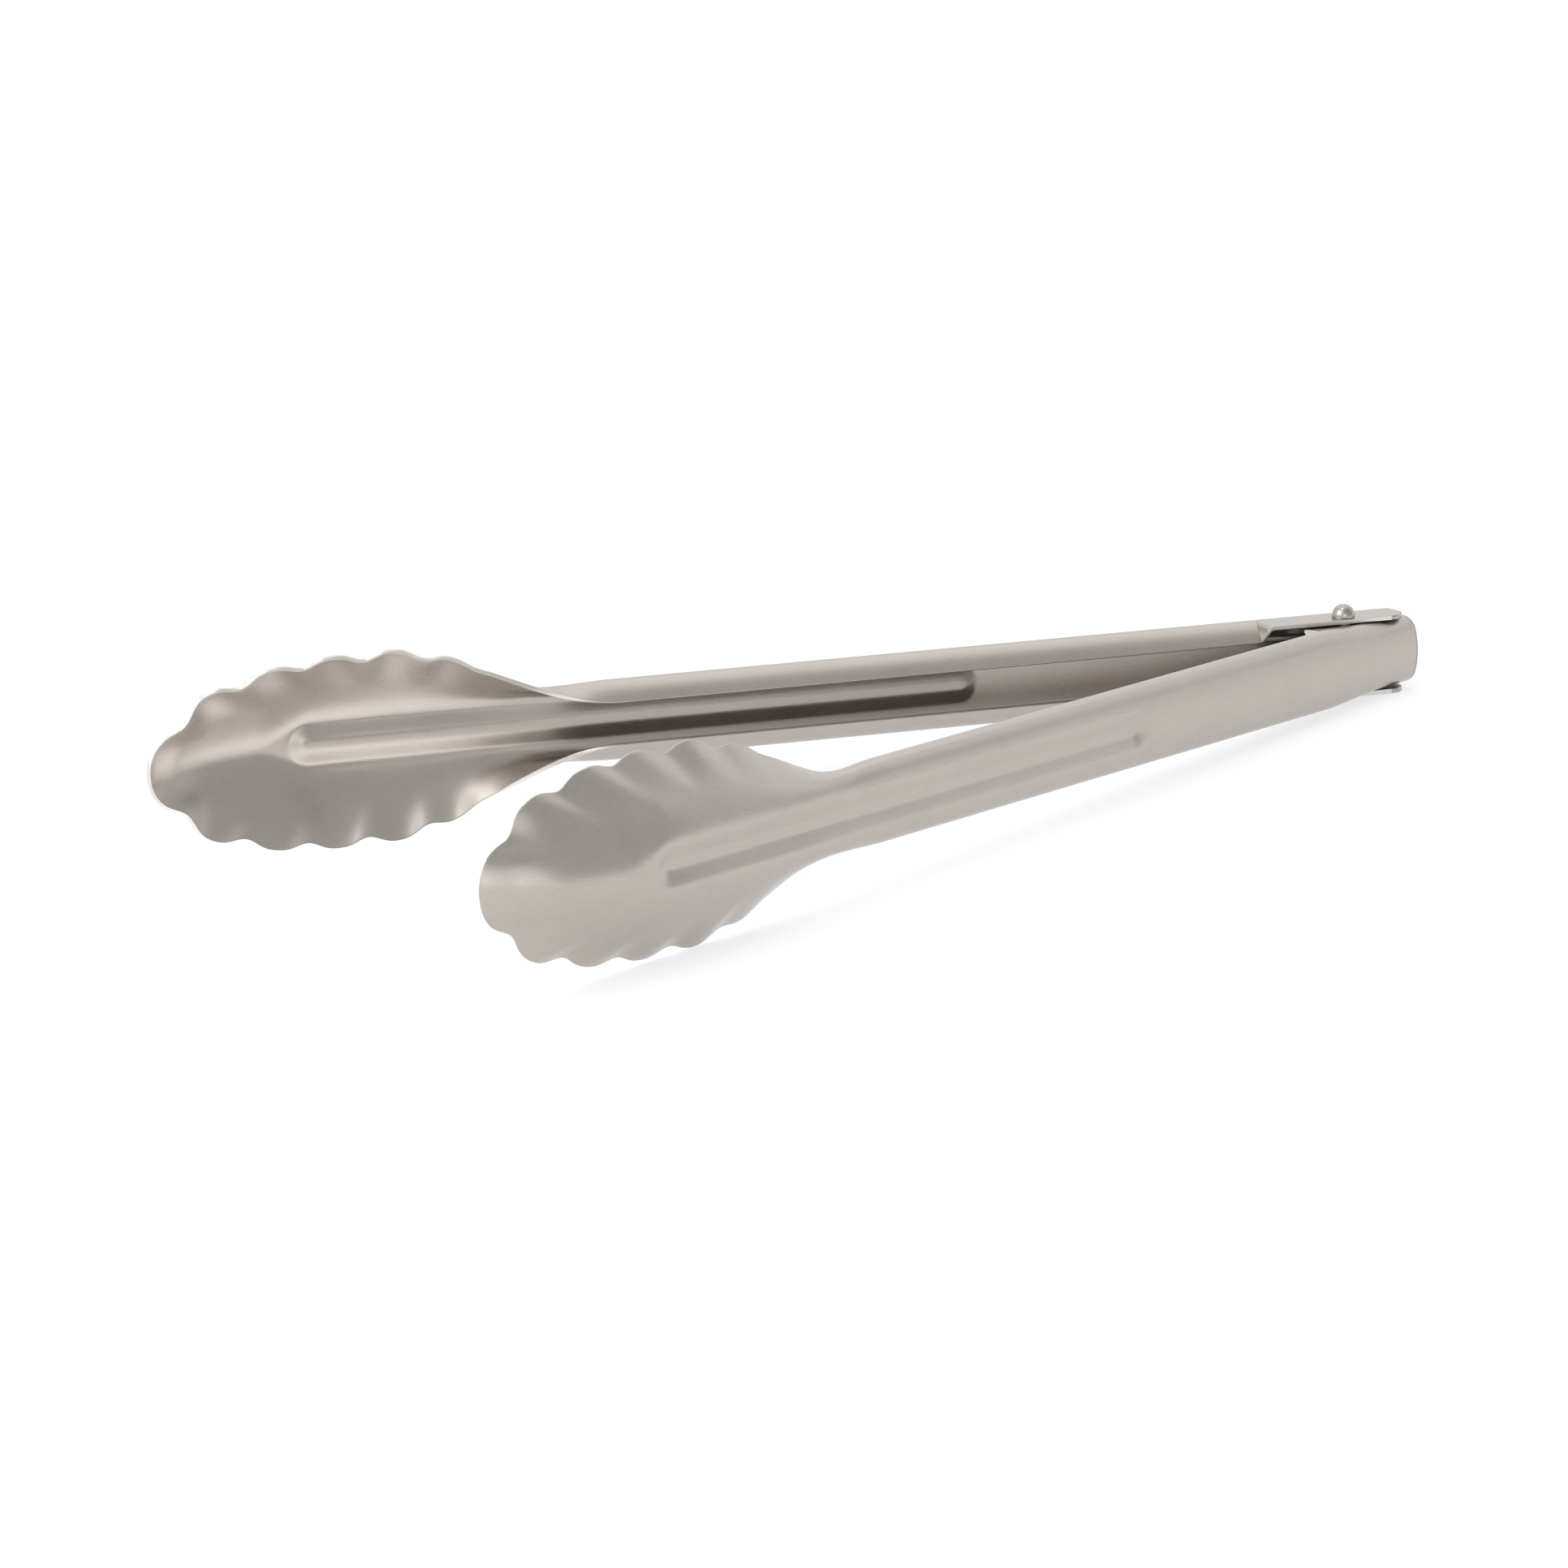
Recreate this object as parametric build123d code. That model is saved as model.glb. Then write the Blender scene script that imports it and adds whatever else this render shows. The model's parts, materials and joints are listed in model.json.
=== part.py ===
from build123d import *
import math
import os

# Spring loaded kitchen tongs, in millimetres.
# Two stamped steel arms turn on one rivet. The pin axis is Z, the heads point to -X,
# the outer arm lies on the +Y side and the inner arm on the -Y side.
# Each arm is first worked out in its own lengths: u runs from the pin towards the tip,
# v runs outwards from the pin to the crown of the web, and w runs along the pin.

# ---- driving dimensions ----
SHEET = 1.0             # thickness of the sheet that the arms are stamped from
PIN_TO_TIP = 290.0      # pin axis to the tip of a head
TAIL = 15.8             # how far an arm runs on behind the pin
OPEN_HALF = 15.1        # each arm's angle from the middle plane, held open by the spring

ARM_HALF = 8.8          # half height of the arm's channel, at the middle of the sheet
CROWN_OUT = 9.8         # pin axis to the crown of the web
LIP_HALF = 4.8          # half of the slot between the two curled lips
LIP_OUT = 0.5           # lip edge, measured outwards from the pin axis
WEB_CROWN_TURN = 15.0   # degrees that half the web turns through
SHOULDER_RADIUS = 3.5   # bend between web and flange
SHOULDER_TURN = 120.0   # degrees where the bend ends and the lip's softer curl starts

EAR_REACH = 3.0         # how far the flat ears pass the pin axis
OUTER_EAR_FRONT = 20.0  # where the outer arm's lips step back to its flat ears
INNER_EAR_FRONT = 12.0  # the same on the inner arm
EAR_STEP = 2.6          # length of that step
EAR_GAP = 0.3           # free space between an inner and an outer ear
NARROW_START = -3.0     # behind this the inner arm is narrow enough to fit between the ears
NARROW_LENGTH = 18.0    # and over this length it widens to the full channel
EAR_LEAN = 0.3          # share of the flange that leans from the shoulder in to the flat ear

HEAD_HALF = 21.1        # half width of the head, between lobe and notch
HEAD_POWER = 2.25       # 2 would be a true ellipse, more is a squarer one
NECK_START = 178.0      # the lips start to open into the head
NECK_END = 234.0        # the head is at its full width
HEAD_CENTRE = 243.0     # centre of the elliptical end of the head
HEAD_DROP_START = 235.0  # the crown starts to curve in towards the tip
HEAD_DROP_POWER = 3.0
TIP_IN = 8.0            # how far the tip lies inside the pin's plane
EDGE_OUT = 1.4          # edge of the head at EDGE_MARK, outwards from the pin's plane
EDGE_MARK = 210.0
EDGE_FALL = 7.8         # how much further in the edge lies at the tip, linear share
EDGE_CURL = 1.5         # and the share that grows with the square
LOBE_PITCH = 14.5       # one scallop
LOBE_NOTCH = 282.4      # notch nearest the tip
LOBE_DEEP = 0.8         # scallop height, half of lobe to notch
LOBE_BLUNT = 0.16       # makes the lobes blunt and the notches narrow
LOBE_START = 207.0
LOBE_FULL = 219.0
FLUTE = 0.75            # how far a lobe bulges out of the dish
FLUTE_REACH = 0.42      # share of the half width that the bulge takes to fade
KEEL_FLAT = 4.4         # the crown beside the rib is flat to this half width
KEEL_FADE = 14.0        # past the rib the flat closes to a keel over this length
KEEL_ROUND = 0.32       # share of the half width that rounds the keel

RIB_START = 89.0        # stiffening rib pressed into the web
RIB_END = 254.0
RIB_HALF = 4.4          # half width at the outer face
RIB_WALL = 3.2          # width of a sloping wall
RIB_DEEP = 1.3
RIB_CREASE = 0.12       # share of a wall that rounds its creases

PIN_RADIUS = 2.0
PIN_FIT = 0.05          # radial play of the pin in the inner ears
DOME_RADIUS = 2.75
DOME_HEIGHT = 3.2
FOOT_HEIGHT = 0.4       # the peened foot stands this far out of the lower ear
FOOT_RADIUS = 2.9

WIRE = 1.6              # torsion spring wire
COIL_RADIUS = 4.3       # middle of the wire
COIL_TURNS = 6
LEG_LENGTH = 30.0
LEG_OUT = 7.6           # where a leg's end lies, outwards from the pin

OUTER_END_RADIUS = 15.2  # the outer arm's end is rounded about the pin
STOP_OUT = 6.6          # the inner ears' cut edge, outwards in the outer arm when open

# ---- worked out from them ----
EAR_HALF = ARM_HALF
INNER_EAR_HALF = EAR_HALF - SHEET - EAR_GAP
EAR_FACE = EAR_HALF + SHEET / 2.0

# ---- how the sheet is drawn ----
SIDE_STEPS = 16         # points from the crown to one edge
WEB_SHARE = 0.42        # part of the half section that is web
BEND_SHARE = 0.72       # web and shoulder bend together
TIP_FLAT = 1.5          # half width of the last section, at the very tip
TIP_TRIM = 0.1          # the last section lies this far short of the full length
EAR_SPAN = 3.0          # sections are close to each other this far either side of an ear step
WIDE_STEP, HEAD_STEP, FINE_STEP, TIP_STEP = 6.0, 2.4, 1.2, 0.5
CUT_LENGTH = 4.0 * ARM_HALF   # longer than anything a cutter has to pass through


def smooth(x):
    """0 below 0, 1 above 1, and a smooth rise between."""
    x = min(1.0, max(0.0, x))
    return x * x * (3.0 - 2.0 * x)


def channel_point(s):
    """Half of the arm's curled C section: crown at s = 0, lip edge at s = 1.
    Three tangent arcs: the crowned web, the shoulder bend and the softly curled lip."""
    web_turn = math.radians(WEB_CROWN_TURN)
    bend_turn = math.radians(SHOULDER_TURN)
    web_half = ARM_HALF - SHOULDER_RADIUS * (1.0 - math.sin(web_turn))
    web_radius = web_half / math.sin(web_turn)
    web_drop = web_radius * (1.0 - math.cos(web_turn))
    bend_w = web_half + SHOULDER_RADIUS * (math.sin(bend_turn) - math.sin(web_turn))
    bend_v = CROWN_OUT - web_drop - SHOULDER_RADIUS * (math.cos(web_turn) - math.cos(bend_turn))
    if s < WEB_SHARE:
        turn = web_turn * s / WEB_SHARE
        return web_radius * math.sin(turn), CROWN_OUT - web_radius * (1.0 - math.cos(turn))
    if s < BEND_SHARE:
        turn = web_turn + (bend_turn - web_turn) * (s - WEB_SHARE) / (BEND_SHARE - WEB_SHARE)
        across = web_half + SHOULDER_RADIUS * (math.sin(turn) - math.sin(web_turn))
        down = SHOULDER_RADIUS * (math.cos(web_turn) - math.cos(turn))
        return across, CROWN_OUT - web_drop - down
    chord_w, chord_v = LIP_HALF - bend_w, LIP_OUT - bend_v
    chord = math.hypot(chord_w, chord_v)
    start = bend_turn
    half_turn = math.atan2(-chord_v, chord_w) - start
    radius = chord / (2.0 * math.sin(half_turn))
    turn = start + 2.0 * half_turn * (s - BEND_SHARE) / (1.0 - BEND_SHARE)
    across = bend_w + radius * (math.sin(turn) - math.sin(start))
    return across, bend_v - radius * (math.cos(start) - math.cos(turn))


def ear_point(s, half, ear_half):
    """Half of the section at the ears: the same web, a square bend, and a flange that leans
    from the shoulder's half width to the flat ear's."""
    web_turn = math.radians(WEB_CROWN_TURN)
    web_half = half - SHOULDER_RADIUS * (1.0 - math.sin(web_turn))
    web_radius = web_half / math.sin(web_turn)
    web_drop = web_radius * (1.0 - math.cos(web_turn))
    if s < WEB_SHARE:
        turn = web_turn * s / WEB_SHARE
        return web_radius * math.sin(turn), CROWN_OUT - web_radius * (1.0 - math.cos(turn))
    if s < BEND_SHARE:
        turn = web_turn + (math.pi / 2 - web_turn) * (s - WEB_SHARE) / (BEND_SHARE - WEB_SHARE)
        across = web_half + SHOULDER_RADIUS * (math.sin(turn) - math.sin(web_turn))
        down = SHOULDER_RADIUS * (math.cos(web_turn) - math.cos(turn))
        return across, CROWN_OUT - web_drop - down
    bend_v = CROWN_OUT - web_drop - SHOULDER_RADIUS * math.cos(web_turn)
    share = (s - BEND_SHARE) / (1.0 - BEND_SHARE)
    flat = half + (ear_half - half) * smooth(share / EAR_LEAN)
    return flat, bend_v + (-EAR_REACH - bend_v) * share


def lobe_wave(u):
    """+1 on a lobe, -1 in a notch, fading out towards the neck."""
    angle = 2.0 * math.pi * (u - LOBE_NOTCH) / LOBE_PITCH
    wave = -math.cos(angle) - LOBE_BLUNT * (math.cos(2.0 * angle) - 1.0)
    return wave * smooth((u - LOBE_START) / (LOBE_FULL - LOBE_START))


def plain_half(u):
    """Half width of the head's outline without scallops: an S curve, then a squared ellipse."""
    if u < HEAD_CENTRE:
        rise = smooth((u - NECK_START) / (NECK_END - NECK_START))
        return LIP_HALF + (HEAD_HALF - LIP_HALF) * rise
    along = (u - HEAD_CENTRE) / (PIN_TO_TIP - HEAD_CENTRE)
    return HEAD_HALF * math.sqrt(max(0.0, 1.0 - along ** HEAD_POWER))


def head_half(u):
    """Half width of the head's outline with its scallops, which weaken where it is narrow."""
    base = plain_half(u)
    return max(TIP_FLAT, base + LOBE_DEEP * lobe_wave(u) * min(1.0, 2.0 * base / HEAD_HALF))


def head_point(s, u):
    """Half of the head's dished section: a flat crown beside the rib, then a rounded keel that
    falls to the edge, and the lobes' bulges near the edge."""
    along = max(0.0, (u - HEAD_DROP_START) / (PIN_TO_TIP - HEAD_DROP_START))
    crown = CROWN_OUT - (CROWN_OUT + TIP_IN) * along ** HEAD_DROP_POWER
    mark = (u - EDGE_MARK) / (PIN_TO_TIP - EDGE_MARK)
    edge = min(crown, EDGE_OUT - EDGE_FALL * mark - EDGE_CURL * mark * mark)
    width = head_half(u) * s
    flat = KEEL_FLAT * (1.0 - smooth((u - RIB_END + KEEL_FADE / 2.0) / KEEL_FADE))
    away = max(0.0, width - flat) / (max(TIP_FLAT, plain_half(u)) - flat)
    keel = math.hypot(away, KEEL_ROUND) - KEEL_ROUND
    keel = keel / (math.hypot(1.0, KEEL_ROUND) - KEEL_ROUND)
    flute = FLUTE * lobe_wave(u) * smooth((s - 1.0 + FLUTE_REACH) / FLUTE_REACH)
    return width, crown - (crown - edge) * keel + flute


def rib_depth(u, w):
    """How far the web is pressed in at (u, w): straight walls, a narrow floor, round ends."""
    beyond = max(0.0, RIB_START + RIB_HALF - u, u - (RIB_END - RIB_HALF))
    climb = (RIB_HALF - math.hypot(beyond, w)) / RIB_WALL
    low, high = math.hypot(climb, RIB_CREASE), math.hypot(climb - 1.0, RIB_CREASE)
    return RIB_DEEP * (low - high + 1.0) / 2.0


def sheet_point(u, t, ear_front, ear_half):
    """Middle of the sheet at distance u along the arm; t runs from -1 at the lower edge
    to 1 at the upper edge."""
    s = abs(t)
    width, out = channel_point(s)
    widen = min(1.0, max(0.0, (u - NARROW_START) / NARROW_LENGTH))
    half = ear_half + (ARM_HALF - ear_half) * widen
    width *= half / ARM_HALF
    if u > NECK_START:
        head_w, head_v = head_point(s, u)
        width += (head_half(u) - LIP_HALF) * s ** 3
        to_head = smooth((u - NECK_START) / (EDGE_MARK + 10.0 - NECK_START))
        width += (head_w - width) * to_head
        out += (head_v - out) * to_head
    ear_w, ear_v = ear_point(s, half, ear_half)
    to_ear = 1.0 - smooth((u - ear_front + EAR_STEP / 2.0) / EAR_STEP)
    width += (ear_w - width) * to_ear
    out += (ear_v - out) * to_ear
    out -= rib_depth(u, width)
    return Vector(-u, out, math.copysign(width, t))


def section_normal(u, t, ear_front, ear_half):
    """Outward unit normal of the sheet within the section at u."""
    step = 0.002
    across = (sheet_point(u, min(1.0, t + step), ear_front, ear_half)
              - sheet_point(u, max(-1.0, t - step), ear_front, ear_half))
    return Vector(0, across.Z, -across.Y).normalized()


def stations(ear_front):
    """Distances along the arm where a section is taken, closer where the shape changes."""
    marks = []

    def add(start, stop, spacing):
        count = max(1, round((stop - start) / spacing))
        marks.extend(start + (stop - start) * i / count for i in range(count))

    add(-TAIL, ear_front - EAR_SPAN, HEAD_STEP)
    add(ear_front - EAR_SPAN, ear_front + EAR_SPAN, TIP_STEP)
    add(ear_front + EAR_SPAN, RIB_START - FINE_STEP, WIDE_STEP)
    add(RIB_START - FINE_STEP, RIB_START + RIB_HALF * 2.0, FINE_STEP)
    add(RIB_START + RIB_HALF * 2.0, NECK_START, WIDE_STEP)
    add(NECK_START, RIB_END - RIB_HALF * 2.0, HEAD_STEP)
    add(RIB_END - RIB_HALF * 2.0, RIB_END + FINE_STEP, FINE_STEP)
    add(RIB_END + FINE_STEP, LOBE_NOTCH, HEAD_STEP)
    add(LOBE_NOTCH, PIN_TO_TIP - TIP_TRIM, TIP_STEP)
    marks.append(PIN_TO_TIP - TIP_TRIM)
    return marks


def section(u, ear_front, ear_half):
    """Closed outline of the sheet at u: outer face, edge, inner face, edge."""
    outer, inner = [], []
    for i in range(-SIDE_STEPS, SIDE_STEPS + 1):
        t = i / SIDE_STEPS
        middle = sheet_point(u, t, ear_front, ear_half)
        half_sheet = section_normal(u, t, ear_front, ear_half) * (SHEET / 2.0)
        outer.append(middle + half_sheet)
        inner.insert(0, middle - half_sheet)
    shares = [i / (2.0 * SIDE_STEPS) for i in range(2 * SIDE_STEPS + 1)]
    return Wire([
        Edge.make_spline(outer, parameters=shares),
        Edge.make_line(outer[-1], inner[0]),
        Edge.make_spline(inner, parameters=shares),
        Edge.make_line(inner[-1], outer[0]),
    ])


def blank(ear_front, ear_half):
    """A stamped arm before its holes are made, drawn from section to section."""
    outlines = [section(u, ear_front, ear_half) for u in stations(ear_front)]
    return Solid.make_loft(outlines, ruled=True)


def pin_hole(radius):
    """A cutter for the rivet's holes in both ears."""
    return Cylinder(radius, CUT_LENGTH)


def outer_arm():
    """The arm whose ears lie outside. Its end is rounded about the pin."""
    behind = Pos(CUT_LENGTH / 2.0, 0, 0) * Box(CUT_LENGTH, 2.0 * CUT_LENGTH, CUT_LENGTH)
    rounding = behind - Cylinder(OUTER_END_RADIUS, CUT_LENGTH)
    return blank(OUTER_EAR_FRONT, EAR_HALF) - rounding - pin_hole(PIN_RADIUS)


def inner_arm():
    """The arm that swings. The back corner of each ear is cut off at the opening angle,
    and that edge lies along the outer arm's web when the tongs are fully open."""
    cutter = Pos(0, -STOP_OUT - CUT_LENGTH / 2.0, 0) * Box(2.0 * CUT_LENGTH, CUT_LENGTH, CUT_LENGTH)
    cutter = Rot(0, 0, 2.0 * OPEN_HALF) * cutter
    return blank(INNER_EAR_FRONT, INNER_EAR_HALF) - cutter - pin_hole(PIN_RADIUS + PIN_FIT)


def pivot_rivet():
    """Round head on top, plain shank, and a foot peened over the lower ear."""
    shank = Cylinder(PIN_RADIUS, 2.0 * EAR_FACE)
    ball = Pos(0, 0, EAR_FACE + DOME_HEIGHT - DOME_RADIUS) * Sphere(DOME_RADIUS)
    below = Pos(0, 0, EAR_FACE - DOME_RADIUS) * Box(*[2.0 * DOME_RADIUS] * 3)
    foot = Pos(0, 0, -EAR_FACE - FOOT_HEIGHT / 2.0) * Cylinder(FOOT_RADIUS, FOOT_HEIGHT)
    return shank + (ball - below) + foot


def spring_leg(side, height):
    """A straight leg that leaves the coil at its rim and lies along an arm's web."""
    start = Vector(0, side * COIL_RADIUS, height)
    run = Vector(-LEG_LENGTH, side * LEG_OUT, height) - start
    return Solid.make_cylinder(WIRE / 2.0, run.length, Plane(start, z_dir=run))


def torsion_spring():
    """The coil as one sleeve of its wire's thickness, with a leg for each arm."""
    height = COIL_TURNS * WIRE
    sleeve = Cylinder(COIL_RADIUS + WIRE / 2.0, height) - Cylinder(COIL_RADIUS - WIRE / 2.0, height)
    leg_level = (height - WIRE) / 2.0
    upper = Rot(0, 0, -OPEN_HALF) * spring_leg(+1.0, leg_level)
    lower = Rot(0, 0, +OPEN_HALF) * spring_leg(-1.0, -leg_level)
    return sleeve + upper + lower


def lie_angle():
    """The tongs lie on their side, on the rivet's foot and a lobe of each head."""
    lobes = [LOBE_NOTCH - LOBE_PITCH * (i + 0.5) for i in range(1, 5)]
    rise = [head_half(u) - EAR_FACE - FOOT_HEIGHT for u in lobes]
    reach = [u * math.cos(math.radians(OPEN_HALF)) for u in lobes]
    return max(math.degrees(math.atan2(a, b)) for a, b in zip(rise, reach))


# ---- put together, laid down and written ----
lie = Rot(0, lie_angle(), 0)
pieces = {
    "outer_arm": lie * Rot(0, 0, -OPEN_HALF) * outer_arm(),
    "inner_arm": lie * Rot(0, 0, OPEN_HALF) * mirror(inner_arm(), Plane.XZ),
    "pivot_rivet": lie * pivot_rivet(),
    "torsion_spring": lie * torsion_spring(),
}
boxes = [piece.bounding_box() for piece in pieces.values()]
low = [min(getattr(box.min, axis) for box in boxes) for axis in "XYZ"]
high = [max(getattr(box.max, axis) for box in boxes) for axis in "XYZ"]
to_origin = Pos(-(low[0] + high[0]) / 2.0, -(low[1] + high[1]) / 2.0, -low[2])
os.makedirs("parts", exist_ok=True)
for name, piece in pieces.items():
    export_step(to_origin * piece, f"parts/{name}.step")
pin = (to_origin * lie).position
print("lies at", round(lie_angle(), 3), "degrees; pin axis passes", pin)
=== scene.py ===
# %% [markdown]
# # Spring loaded kitchen tongs
# The tongs are two arms stamped from steel sheet, one rivet and one wire spring. The packed
# CAD model says where they are and how they move. This lesson gives each piece its finished
# surface, its brushed or polished steel, and then a plain studio.

# %% Load the frame
import json
import math

import bmesh
import bpy
import numpy as np
from mathutils import Matrix, Vector


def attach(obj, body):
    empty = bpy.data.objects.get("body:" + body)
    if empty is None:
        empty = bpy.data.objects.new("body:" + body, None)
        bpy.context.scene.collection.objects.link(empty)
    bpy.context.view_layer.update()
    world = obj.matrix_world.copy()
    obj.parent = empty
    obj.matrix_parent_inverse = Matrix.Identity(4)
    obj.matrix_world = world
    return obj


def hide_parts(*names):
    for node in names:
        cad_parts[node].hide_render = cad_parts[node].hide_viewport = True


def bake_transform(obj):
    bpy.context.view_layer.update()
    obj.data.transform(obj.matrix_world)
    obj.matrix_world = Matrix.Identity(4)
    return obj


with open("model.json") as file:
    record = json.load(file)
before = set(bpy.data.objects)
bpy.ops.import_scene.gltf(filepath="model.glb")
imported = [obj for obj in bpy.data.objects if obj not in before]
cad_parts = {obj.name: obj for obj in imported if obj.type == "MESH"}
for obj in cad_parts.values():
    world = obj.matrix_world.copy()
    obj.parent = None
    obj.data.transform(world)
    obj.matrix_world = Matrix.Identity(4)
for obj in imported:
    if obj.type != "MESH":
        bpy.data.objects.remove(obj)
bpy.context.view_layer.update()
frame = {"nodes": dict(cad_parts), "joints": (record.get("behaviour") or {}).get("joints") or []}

joint = frame["joints"][0]

# %% [markdown]
# ## The pin gives the frame of each arm
# Everything on the tongs is measured from the rivet's axis: how far along an arm (u), how far
# outwards from the pin to the back of the arm (v), and how far up the pin (w). The packed
# joint holds the axis, so the arms are drawn in those three lengths, in millimetres, and
# carried to their place in one step. That way one description serves both arms.

# %% From arm lengths to the frame
MM = 0.001
PIN = np.array(joint["pos_m"])
UP = np.array(joint["axis"]) / np.linalg.norm(joint["axis"])
SIDE = np.array([0.0, 1.0, 0.0])
AHEAD = np.cross(SIDE, UP)
OPEN_HALF = math.radians(15.1)


def place(u, v, w, side):
    """Frame position of (u, v, w): the arm leaves the pin towards -AHEAD, turned by the
    opening half angle towards its own side, which is +1 for the outer arm, -1 for the inner."""
    ahead = -u * math.cos(OPEN_HALF) + v * math.sin(OPEN_HALF)
    aside = side * (u * math.sin(OPEN_HALF) + v * math.cos(OPEN_HALF))
    parts = ahead[..., None] * AHEAD + aside[..., None] * SIDE + w[..., None] * UP
    return PIN + MM * parts


print("pin at", PIN.round(4), "axis", UP.round(4))

# %% [markdown]
# ## The arm's channel
# Along its handle the sheet is bent into a C. The web is slightly crowned, a tight bend takes
# it round the shoulder, and a softer curl brings the lips back towards each other, so the
# fingers never meet a raw edge. Three arcs that share their tangents describe half of it.

# %% Sizes of the sheet and the channel
SHEET = 1.0
PIN_TO_TIP = 290.0
TAIL = 15.78
ARM_HALF = 8.8
CROWN_OUT = 9.8
LIP_HALF = 4.8
LIP_OUT = 0.5
WEB_TURN = math.radians(15.0)
SHOULDER_RADIUS = 3.5
SHOULDER_TURN = math.radians(120.0)
WEB_SHARE = 0.42
BEND_SHARE = 0.72


def smooth(x):
    """0 below 0, 1 above 1, and 3x^2 - 2x^3 between."""
    x = np.clip(x, 0.0, 1.0)
    return x * x * (3.0 - 2.0 * x)


def web_and_bend(s, half, end_turn):
    """Half width and outward place for s up to BEND_SHARE: an arc that turns through WEB_TURN,
    then an arc of the shoulder radius that turns on to end_turn."""
    web_half = half - SHOULDER_RADIUS * (1.0 - math.sin(WEB_TURN))
    web_radius = web_half / math.sin(WEB_TURN)
    web_drop = web_radius * (1.0 - math.cos(WEB_TURN))
    turn = WEB_TURN * s / WEB_SHARE
    web = web_radius * np.sin(turn), CROWN_OUT - web_radius * (1.0 - np.cos(turn))
    turn = WEB_TURN + (end_turn - WEB_TURN) * (s - WEB_SHARE) / (BEND_SHARE - WEB_SHARE)
    turn = np.minimum(turn, end_turn)
    across = web_half + SHOULDER_RADIUS * (np.sin(turn) - math.sin(WEB_TURN))
    out = CROWN_OUT - web_drop - SHOULDER_RADIUS * (math.cos(WEB_TURN) - np.cos(turn))
    on_web = s < WEB_SHARE
    return np.where(on_web, web[0], across), np.where(on_web, web[1], out)


def channel(s):
    """The whole half section of the handle: web, shoulder, and a third arc that starts where
    the shoulder ends and passes through the lip's edge."""
    across, out = web_and_bend(s, ARM_HALF, SHOULDER_TURN)
    start_w, start_v = (float(k) for k in web_and_bend(np.array(BEND_SHARE), ARM_HALF, SHOULDER_TURN))
    chord_w, chord_v = LIP_HALF - start_w, LIP_OUT - start_v
    half_turn = math.atan2(-chord_v, chord_w) - SHOULDER_TURN
    radius = math.hypot(chord_w, chord_v) / (2.0 * math.sin(half_turn))
    turn = SHOULDER_TURN + 2.0 * half_turn * (s - BEND_SHARE) / (1.0 - BEND_SHARE)
    lip_w = start_w + radius * (np.sin(turn) - math.sin(SHOULDER_TURN))
    lip_v = start_v - radius * (math.cos(SHOULDER_TURN) - np.cos(turn))
    on_lip = s > BEND_SHARE
    return np.where(on_lip, lip_w, across), np.where(on_lip, lip_v, out)


sample = channel(np.linspace(0.0, 1.0, 200))
print("channel", round(2.0 * sample[0].max() + SHEET, 2), "mm high,",
      round(sample[1].max() - sample[1].min() + SHEET, 2), "mm deep")

# %% [markdown]
# ## The ears
# Near the rivet the lips step back, and the flanges run on as flat ears that can slide past
# each other. The section keeps the same web and shoulder, and a straight flange follows.

# %% Ears
EAR_REACH = 3.0
EAR_STEP = 1.1
EAR_GAP = 0.3
EAR_HALF = ARM_HALF
INNER_EAR_HALF = EAR_HALF - SHEET - EAR_GAP
EAR_LEAN = 0.3
NARROW_START, NARROW_LENGTH = -3.0, 18.0


def ear(s, half, ear_half):
    """Half section at the ears: web and shoulder as in the channel, turned to a right angle,
    then a straight line to EAR_REACH beyond the pin. The flange leans from the shoulder's
    half width to the ear's over its first share, EAR_LEAN."""
    across, out = web_and_bend(s, half, math.pi / 2.0)
    bend_out = float(web_and_bend(np.array(BEND_SHARE), ARM_HALF, math.pi / 2.0)[1])
    share = (s - BEND_SHARE) / (1.0 - BEND_SHARE)
    on_flange = s > BEND_SHARE
    flat = np.where(on_flange, half + (ear_half - half) * smooth(share / EAR_LEAN), across)
    return flat, np.where(on_flange, bend_out + (-EAR_REACH - bend_out) * share, out)


print("ears", round(2.0 * EAR_HALF + SHEET, 2), "mm over the outer pair,",
      round(2.0 * INNER_EAR_HALF + SHEET, 2), "mm over the inner pair")

# %% [markdown]
# ## The head
# The channel opens into a long dish with a keel along its middle. Its outline is half an
# ellipse towards the tip and an S curve towards the neck. Five scallops on each side and one
# round the tip are pressed in at an even pitch. Each lobe also bulges outwards a little, so
# the notches between them stand inwards as short ridges that grip. The scallops are deepest
# round the tip. The rows of the grid fan out towards the tip, so that a flute always crosses
# the edge squarely.

# %% Outline and dish
RIB_START, RIB_END = 89.0, 254.0
HEAD_HALF = 21.1
HEAD_POWER = 2.25
NECK_START, NECK_END = 178.0, 234.0
HEAD_CENTRE = 243.0
LOBE_PITCH = 14.5
LOBE_NOTCH = 282.4
LOBE_DEEP = 0.78
TIP_LOBE_DEEP = 1.35
LOBE_BLUNT = 0.16
LOBE_START, LOBE_FULL = 207.0, 219.0
HEAD_DROP_START = 234.6
HEAD_DROP_POWER = 3.0
TIP_IN = 8.0
EDGE_OUT, EDGE_MARK = 1.4, 210.0
NECK_FADE = 10.0
EDGE_FALL, EDGE_CURL = 7.8, 1.5
KEEL_BAND = 6.5
KEEL_FLAT = 4.4
FLUTE, TIP_FLUTE = 0.55, 1.1
FLUTE_REACH = 0.42
FLUTE_BLUNT = 0.05
FAN_START, FAN_FULL = 215.0, 262.0
FAN = 15.0
TIP_DEEPEN = 18.0
TIP_SHY = 0.2
TIP_LENGTH = PIN_TO_TIP - TIP_SHY - TIP_LOBE_DEEP - HEAD_CENTRE
RIB_END_FADE, RIB_END_SHIFT = 14.0, 6.0
KEEL_SOFTEST = 1.5


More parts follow.
